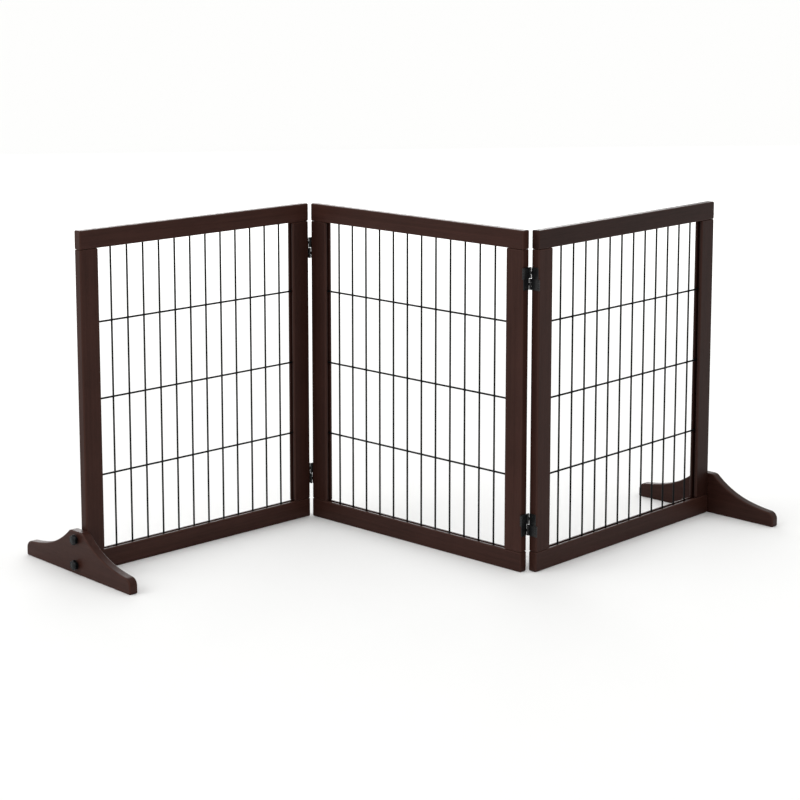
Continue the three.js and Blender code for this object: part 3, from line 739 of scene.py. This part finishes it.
def add_foot(side, angle, seed):
    """A foot with its two knobs, on the outer end of the left or right panel."""
    panel_end = PANELS[side] @ turn("z", angle) @ shift(x=-PANEL_WIDTH / 2)
    form = Form()
    # The foot's outline stands in (y, z) and its thickness runs outwards, along -x.
    standing = shift(x=-CLEARANCE) @ turn("z", -math.pi / 2) @ turn("x", math.pi / 2)
    mouth, spread = FOOT_BORE_MOUTH
    narrow, wide = STUD_RADIUS + CLEARANCE, STUD_RADIUS + spread
    bore = [(0.0, wide), (mouth, narrow), (THICKNESS - mouth, narrow), (THICKNESS, wide)]
    bores = [((0.0, z), bore) for z in BOLT_HEIGHTS.values()]
    plate(form, panel_end @ standing, foot_outline(), THICKNESS, FOOT_EDGE, bores, seed)
    stand_for(board(form, f"{side}_foot"), f"{side}_foot")
    for level, z in BOLT_HEIGHTS.items():
        # The knob's z runs outwards from the foot's outer face.
        seat = panel_end @ shift(x=-2 * CLEARANCE - THICKNESS, z=z) @ turn("y", -math.pi / 2)
        add_knob(f"{side}_{level}_knob", seat)


def add_knob(name, seat):
    """A lobed grip on a collar: radius R(z) less the lobe depth times (1 - cos of six times the angle) / 2,
    with quarter-circle edges and a low dome, and a threaded stud behind it."""
    top = COLLAR_HEIGHT + KNOB_GRIP
    bevel = np.linspace(0, math.pi / 2, ARC_STEPS + 1)
    rim = KNOB_RADIUS - KNOB_BEVEL
    sine, cosine = np.sin(bevel), np.cos(bevel)
    lower = np.stack([COLLAR_HEIGHT + KNOB_BEVEL * (1 - cosine), rim + KNOB_BEVEL * sine], axis=-1)
    upper = np.stack([top - KNOB_BEVEL * (1 - sine), rim + KNOB_BEVEL * cosine], axis=-1)
    # The collar as (height, radius): an eased foot, a plain wall and a flare up to the grip.
    collar = np.array([
        [0, COLLAR_RADIUS - 0.4 * MM],
        [0.12 * MM, COLLAR_RADIUS - 0.12 * MM],
        [0.4 * MM, COLLAR_RADIUS],
        [COLLAR_HEIGHT - 0.6 * MM, COLLAR_RADIUS],
        [COLLAR_HEIGHT - 0.15 * MM, COLLAR_RADIUS + 0.2 * MM],
        [COLLAR_HEIGHT, COLLAR_RADIUS + COLLAR_FLARE],
    ])
    # The cap: a rim, a shallow ring sunk inside it, and a low dome in the middle.
    share = np.array([0.94, 0.86, 0.8, 0.74, 0.68, 0.55, 0.4, 0.25, 0.1, 0.02])
    rise = np.array([0.05, 0.05, -0.35, -0.35, 0.1, 0.35, 0.55, 0.68, 0.75, 0.76]) * MM
    cap = np.stack([top + rise, rim * share], axis=-1)
    profile = np.concatenate([collar, lower, upper, cap])
    lobed = np.clip((profile[:, 1] - COLLAR_RADIUS - COLLAR_FLARE) / LOBE_START, 0, 1)
    angle = np.arange(KNOB_SIDES) * 2 * math.pi / KNOB_SIDES
    dip = KNOB_LOBE_DEPTH * (1 - np.cos(KNOB_LOBES * angle)) / 2
    radius = profile[:, 1, None] - lobed[:, None] * dip[None]
    height = np.broadcast_to(profile[:, 0, None], radius.shape)
    form = Form()
    form.carried(np.stack([radius * np.cos(angle), radius * np.sin(angle), height], axis=-1), seat)
    stand_for(form.piece(f"{name}_grip", PLASTIC, 35), name)

    # The stud: a plain rod cut by the thread's wave, which starts from nothing at the pointed end.
    stud_end = -THICKNESS - 2 * CLEARANCE - STUD_REACH
    z = np.arange(stud_end, -STUD_SHORT, STUD_PITCH / THREAD_ROWS)[:, None]
    start = np.clip((z - stud_end) / STUD_LEAD, 0, 1)
    radius = STUD_RADIUS - STUD_POINT * (1 - start) - STUD_THREAD * thread_wave(z, STUD_PITCH) * start
    angle = THREAD_TURN * 2 * math.pi
    height = np.broadcast_to(z, radius.shape)
    stud = Form()
    stud.carried(np.stack([radius * np.cos(angle), radius * np.sin(angle), height], axis=-1), seat)
    obj = stud.piece(f"{name}_stud", STEEL, 60)
    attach(obj, BODY_OF[name])


# ---------- materials ----------

STAIN_DARK = "#331d17"
STAIN_LIGHT = "#3b231d"
STAIN_THIN = "#4c322a"
WOOD_SPECULAR = 0.1


def linear(code):
    """An sRGB hex colour as linear RGBA."""
    channels = [int(code[i:i + 2], 16) / 255 for i in (1, 3, 5)]
    return [c / 12.92 if c <= 0.04045 else ((c + 0.055) / 1.055) ** 2.4 for c in channels] + [1.0]


def add(tree, kind, inputs=None, **settings):
    """Adds one node. settings are its own properties, and inputs gives a socket a number or another node's
    output."""
    node = tree.nodes.new("ShaderNode" + kind)
    for name, value in settings.items():
        setattr(node, name, value)
    for key, value in (inputs or {}).items():
        if isinstance(value, bpy.types.NodeSocket):
            tree.links.new(value, node.inputs[key])
        else:
            node.inputs[key].default_value = value
    return node


def blank(name):
    """A new material of that name and its empty node tree."""
    material = bpy.data.materials.new(name)
    material.use_nodes = True
    material.node_tree.nodes.clear()
    return material, material.node_tree


def finish_material(tree, shader):
    """Joins the shader to the material's output."""
    output = add(tree, "OutputMaterial")
    tree.links.new(shader.outputs["BSDF"], output.inputs["Surface"])


def per_metre(size):
    """A noise scale whose features are about that many metres apart."""
    return 1.0 / size


def stained_pine():
    """Pine stained espresso under a satin lacquer: dark, even and a little red, with the grain just showing along
    each board, stained thinner and lighter on the eased edges, and each board darkened by its own painted shade."""
    material, tree = blank("espresso_stained_pine_satin_lacquer")
    grain = add(tree, "Attribute", attribute_name="grain").outputs["Vector"]
    wear = add(tree, "Attribute", attribute_name="wear").outputs["Fac"]

    # Growth figure: bands about 5 mm apart across the board and 250 mm long.
    stretched = add(tree, "VectorMath", {
        0: grain, 1: (per_metre(0.25), per_metre(0.005), per_metre(0.007)),
    }, operation="MULTIPLY")
    figure = add(tree, "TexNoise", {
        "Vector": stretched.outputs[0], "Scale": 1.0, "Detail": 3.0, "Roughness": 0.55, "Distortion": 0.4,
    })
    # Pores: real ones are 0.1 mm wide, drawn here 0.9 mm apart and 18 mm long so that they show.
    fine = add(tree, "VectorMath", {
        0: grain, 1: (per_metre(0.018), per_metre(0.0009), per_metre(0.0009)),
    }, operation="MULTIPLY")
    pores = add(tree, "TexNoise", {
        "Vector": fine.outputs[0], "Scale": 1.0, "Detail": 2.0, "Roughness": 0.6,
    })
    # Stain lies unevenly over about 90 mm.
    blotch = add(tree, "TexNoise", {"Vector": grain, "Scale": per_metre(0.09), "Detail": 1.0})

    colour = add(tree, "ValToRGB", {"Fac": figure.outputs["Fac"]})
    colour.color_ramp.elements[0].position = 0.32
    colour.color_ramp.elements[0].color = linear(STAIN_DARK)
    colour.color_ramp.elements[1].position = 0.68
    colour.color_ramp.elements[1].color = linear(STAIN_LIGHT)
    pore_fade = add(tree, "MapRange", {
        "Value": pores.outputs["Fac"], "From Min": 0.35, "From Max": 0.5, "To Min": 0.82, "To Max": 1.0,
    })
    blotch_fade = add(tree, "MapRange", {
        "Value": blotch.outputs["Fac"], "From Min": 0.3, "From Max": 0.7, "To Min": 0.92, "To Max": 1.08,
    })
    mottle = add(tree, "Math", {0: pore_fade.outputs[0], 1: blotch_fade.outputs[0]}, operation="MULTIPLY")
    # Each board's painted shade: a factor that darkens the colour of boards that stand in dimmer light or where
    # the panels shade each other.
    depth = add(tree, "Attribute", attribute_name="painted_shade").outputs["Fac"]
    shade = add(tree, "Math", {0: mottle.outputs[0], 1: depth}, operation="MULTIPLY")
    shaded = add(tree, "VectorMath", {
        0: colour.outputs["Color"], "Scale": shade.outputs[0],
    }, operation="SCALE")
    thin = add(tree, "Math", {0: wear, 1: 0.35}, operation="MULTIPLY")
    stained = add(tree, "Mix", {
        "Factor": thin.outputs[0], "A": shaded.outputs[0], "B": linear(STAIN_THIN),
    }, data_type="RGBA")

    # The lacquer is a little duller over the pores.
    gloss = add(tree, "MapRange", {
        "Value": pores.outputs["Fac"], "From Min": 0.3, "From Max": 0.6, "To Min": 0.46, "To Max": 0.36,
    })
    sunk = add(tree, "Math", {0: pores.outputs["Fac"], 1: 0.5}, operation="MULTIPLY")
    relief = add(tree, "Math", {0: figure.outputs["Fac"], 1: sunk.outputs[0]}, operation="ADD")
    bump = add(tree, "Bump", {"Strength": 0.25, "Distance": 0.06 * MM, "Height": relief.outputs[0]})
    shader = add(tree, "BsdfPrincipled", {
        "Base Color": stained.outputs["Result"], "Roughness": gloss.outputs[0],
        "IOR": 1.5, "Specular IOR Level": WOOD_SPECULAR, "Normal": bump.outputs[0],
    })
    finish_material(tree, shader)
    return material


def coated_metal(name, colour, roughness, specular, grit, depth):
    """Mild steel under a baked black coat: its grit, about that many metres apart and depth high, gives a
    soft, slightly uneven sheen."""
    material, tree = blank(name)
    place = add(tree, "TexCoord").outputs["Object"]
    skin = add(tree, "TexNoise", {"Vector": place, "Scale": per_metre(grit), "Detail": 2.0})
    wide = add(tree, "TexNoise", {"Vector": place, "Scale": per_metre(12 * grit), "Detail": 1.0})
    tone = add(tree, "MapRange", {
        "Value": wide.outputs["Fac"], "From Min": 0.3, "From Max": 0.7, "To Min": 0.85, "To Max": 1.15,
    })
    shaded = add(tree, "VectorMath", {0: linear(colour)[:3], "Scale": tone.outputs[0]}, operation="SCALE")
    gloss = add(tree, "MapRange", {
        "Value": skin.outputs["Fac"], "From Min": 0.3, "From Max": 0.7,
        "To Min": roughness - 0.06, "To Max": roughness + 0.06,
    })
    bump = add(tree, "Bump", {"Strength": 0.3, "Distance": depth, "Height": skin.outputs["Fac"]})
    shader = add(tree, "BsdfPrincipled", {
        "Base Color": shaded.outputs[0], "Roughness": gloss.outputs[0],
        "IOR": 1.5, "Specular IOR Level": specular, "Normal": bump.outputs[0],
    })
    finish_material(tree, shader)
    return material


def moulded_plastic():
    """Black polyamide from a spark-eroded mould: a fine even grain that spreads the highlights."""
    material, tree = blank("black_moulded_nylon")
    place = add(tree, "TexCoord").outputs["Object"]
    # The mould's grain is 0.15 mm, drawn at 0.5 mm.
    texture = add(tree, "TexNoise", {"Vector": place, "Scale": per_metre(0.5 * MM), "Detail": 1.0})
    gloss = add(tree, "MapRange", {
        "Value": texture.outputs["Fac"], "From Min": 0.3, "From Max": 0.7, "To Min": 0.24, "To Max": 0.34,
    })
    bump = add(tree, "Bump", {"Strength": 0.2, "Distance": 0.05 * MM, "Height": texture.outputs["Fac"]})
    shader = add(tree, "BsdfPrincipled", {
        "Base Color": linear("#0b0f11"), "Roughness": gloss.outputs[0],
        "IOR": 1.53, "Specular IOR Level": 0.15, "Normal": bump.outputs[0],
    })
    finish_material(tree, shader)
    return material


def turned_brass():
    """Brass turned on a lathe: the tool's fine marks, drawn about 0.6 mm apart, in the roughness."""
    material, tree = blank("turned_brass")
    place = add(tree, "TexCoord").outputs["Object"]
    marks = add(tree, "TexNoise", {"Vector": place, "Scale": per_metre(0.6 * MM), "Detail": 1.0})
    gloss = add(tree, "MapRange", {"Value": marks.outputs["Fac"], "To Min": 0.25, "To Max": 0.4})
    shader = add(tree, "BsdfPrincipled", {
        "Base Color": linear("#b08d57"), "Metallic": 1.0, "Roughness": gloss.outputs[0],
    })
    finish_material(tree, shader)
    return material


WOOD = stained_pine()
WIRE = coated_metal("black_powder_coated_wire", "#0c0d0e", 0.5, 0.12, 0.7 * MM, 0.04 * MM)
STEEL = coated_metal("black_painted_steel", "#0e0f10", 0.3, 0.4, 0.5 * MM, 0.03 * MM)
PLASTIC = moulded_plastic()
BRASS = turned_brass()


# ---------- the gate ----------

for number, panel in enumerate(PANELS):
    add_panel_timber(panel, 1 + 4 * number)
    add_wire_panel(panel)
for level in HINGE_HEIGHTS:
    add_hinge("left", level, "left", "middle")
    add_hinge("right", level, "middle", "right")
add_foot("left", 0.0, 21)
add_foot("right", math.pi, 22)
# The inserts keep their CAD shape.
for side in ("left", "right"):
    for level in BOLT_HEIGHTS:
        insert = frame["nodes"][f"{side}_{level}_insert"]
        insert.data.materials.clear()
        insert.data.materials.append(BRASS)


# ---------- floor, light and camera ----------

FLOOR_RADIUS = 400.0
FLOOR_SIDES = 96
BRIGHT_WALL = 1.0           # strength of the world low down behind the gate
DIM_WALL = 0.45             # and on the other sides
SKY_LIGHT = 0.98            # and overhead


def add_floor():
    """A round pale floor that reaches to the horizon."""
    points = np.column_stack([circle(FLOOR_RADIUS, FLOOR_SIDES), np.zeros(FLOOR_SIDES)])
    mesh = bpy.data.meshes.new("floor")
    mesh.from_pydata(points.tolist(), [], [list(range(FLOOR_SIDES))])
    material, tree = blank("matt_white_floor")
    shader = add(tree, "BsdfPrincipled", {
        "Base Color": linear("#f4f4f3"), "Roughness": 0.9, "Specular IOR Level": 0.0,
    })
    finish_material(tree, shader)
    mesh.materials.append(material)
    floor = bpy.data.objects.new("floor", mesh)
    bpy.context.scene.collection.objects.link(floor)


def add_lamp(name, kind, place, target, power, **shape):
    """A lamp of that kind at a place, facing a target, hidden from the camera."""
    light = bpy.data.lights.new(name, kind)
    light.energy = power
    for key, value in shape.items():
        setattr(light, key, value)
    lamp = bpy.data.objects.new(name, light)
    lamp.location = place
    lamp.rotation_euler = (Vector(target) - Vector(place)).to_track_quat("-Z", "Y").to_euler()
    lamp.visible_camera = False
    bpy.context.scene.collection.objects.link(lamp)


def add_studio():
    """A white sky and a white wall behind the gate, dimmer walls on the other sides, and soft lamps: a broad
    one from the front left, a low card beside the near foot and a bright wall far behind on the left."""
    world = bpy.data.worlds.new("studio")
    world.use_nodes = True
    tree = world.node_tree
    way = add(tree, "TexCoord").outputs["Generated"]
    height = add(tree, "SeparateXYZ", {0: way}).outputs["Z"]
    behind = (-0.67, 0.74, 0.0)
    ahead = add(tree, "VectorMath", {0: way, 1: behind}, operation="DOT_PRODUCT").outputs["Value"]
    wall = add(tree, "MapRange", {
        "Value": ahead, "From Min": -0.3, "From Max": 0.6, "To Min": DIM_WALL, "To Max": BRIGHT_WALL,
    }).outputs[0]
    strength = add(tree, "MapRange", {
        "Value": height, "From Min": 0.05, "From Max": 0.5, "To Min": wall, "To Max": SKY_LIGHT,
    })
    background = tree.nodes["Background"]
    background.inputs["Color"].default_value = linear("#ffffff")
    tree.links.new(strength.outputs[0], background.inputs["Strength"])
    bpy.context.scene.world = world
    add_lamp("front_left", "SUN", (-1.2, -2.4, 2.2), (0, 0, 0), 0.7, angle=math.radians(50))
    add_lamp(
        "card", "AREA", (-1.25, -1.35, 0.35), (-0.3, -0.5, 0.25), 0.6,
        shape="RECTANGLE", size=0.7, size_y=0.6,
    )
    add_lamp(
        "far_wall", "AREA", (-4.6, 4.0, 1.9), (0, 0, 0.2), 120.0,
        shape="RECTANGLE", size=4.0, size_y=1.6,
    )


add_floor()
add_studio()

CAMERA_PLACE = (2.4543, -2.6999, 1.1308)
CAMERA_DOWN = 8.801         # degrees below level
CAMERA_YAW = 42.699

camera_data = bpy.data.cameras.new("camera")
camera_data.sensor_width = 36.0
camera_data.lens = 91.802
camera_data.shift_y = -0.2
camera_data.clip_end = 1000.0
camera = bpy.data.objects.new("camera", camera_data)
camera.location = CAMERA_PLACE
camera.rotation_euler = (math.radians(90 - CAMERA_DOWN), 0.0, math.radians(CAMERA_YAW))
bpy.context.scene.collection.objects.link(camera)
bpy.context.scene.camera = camera
bpy.context.scene.view_settings.view_transform = "Standard"
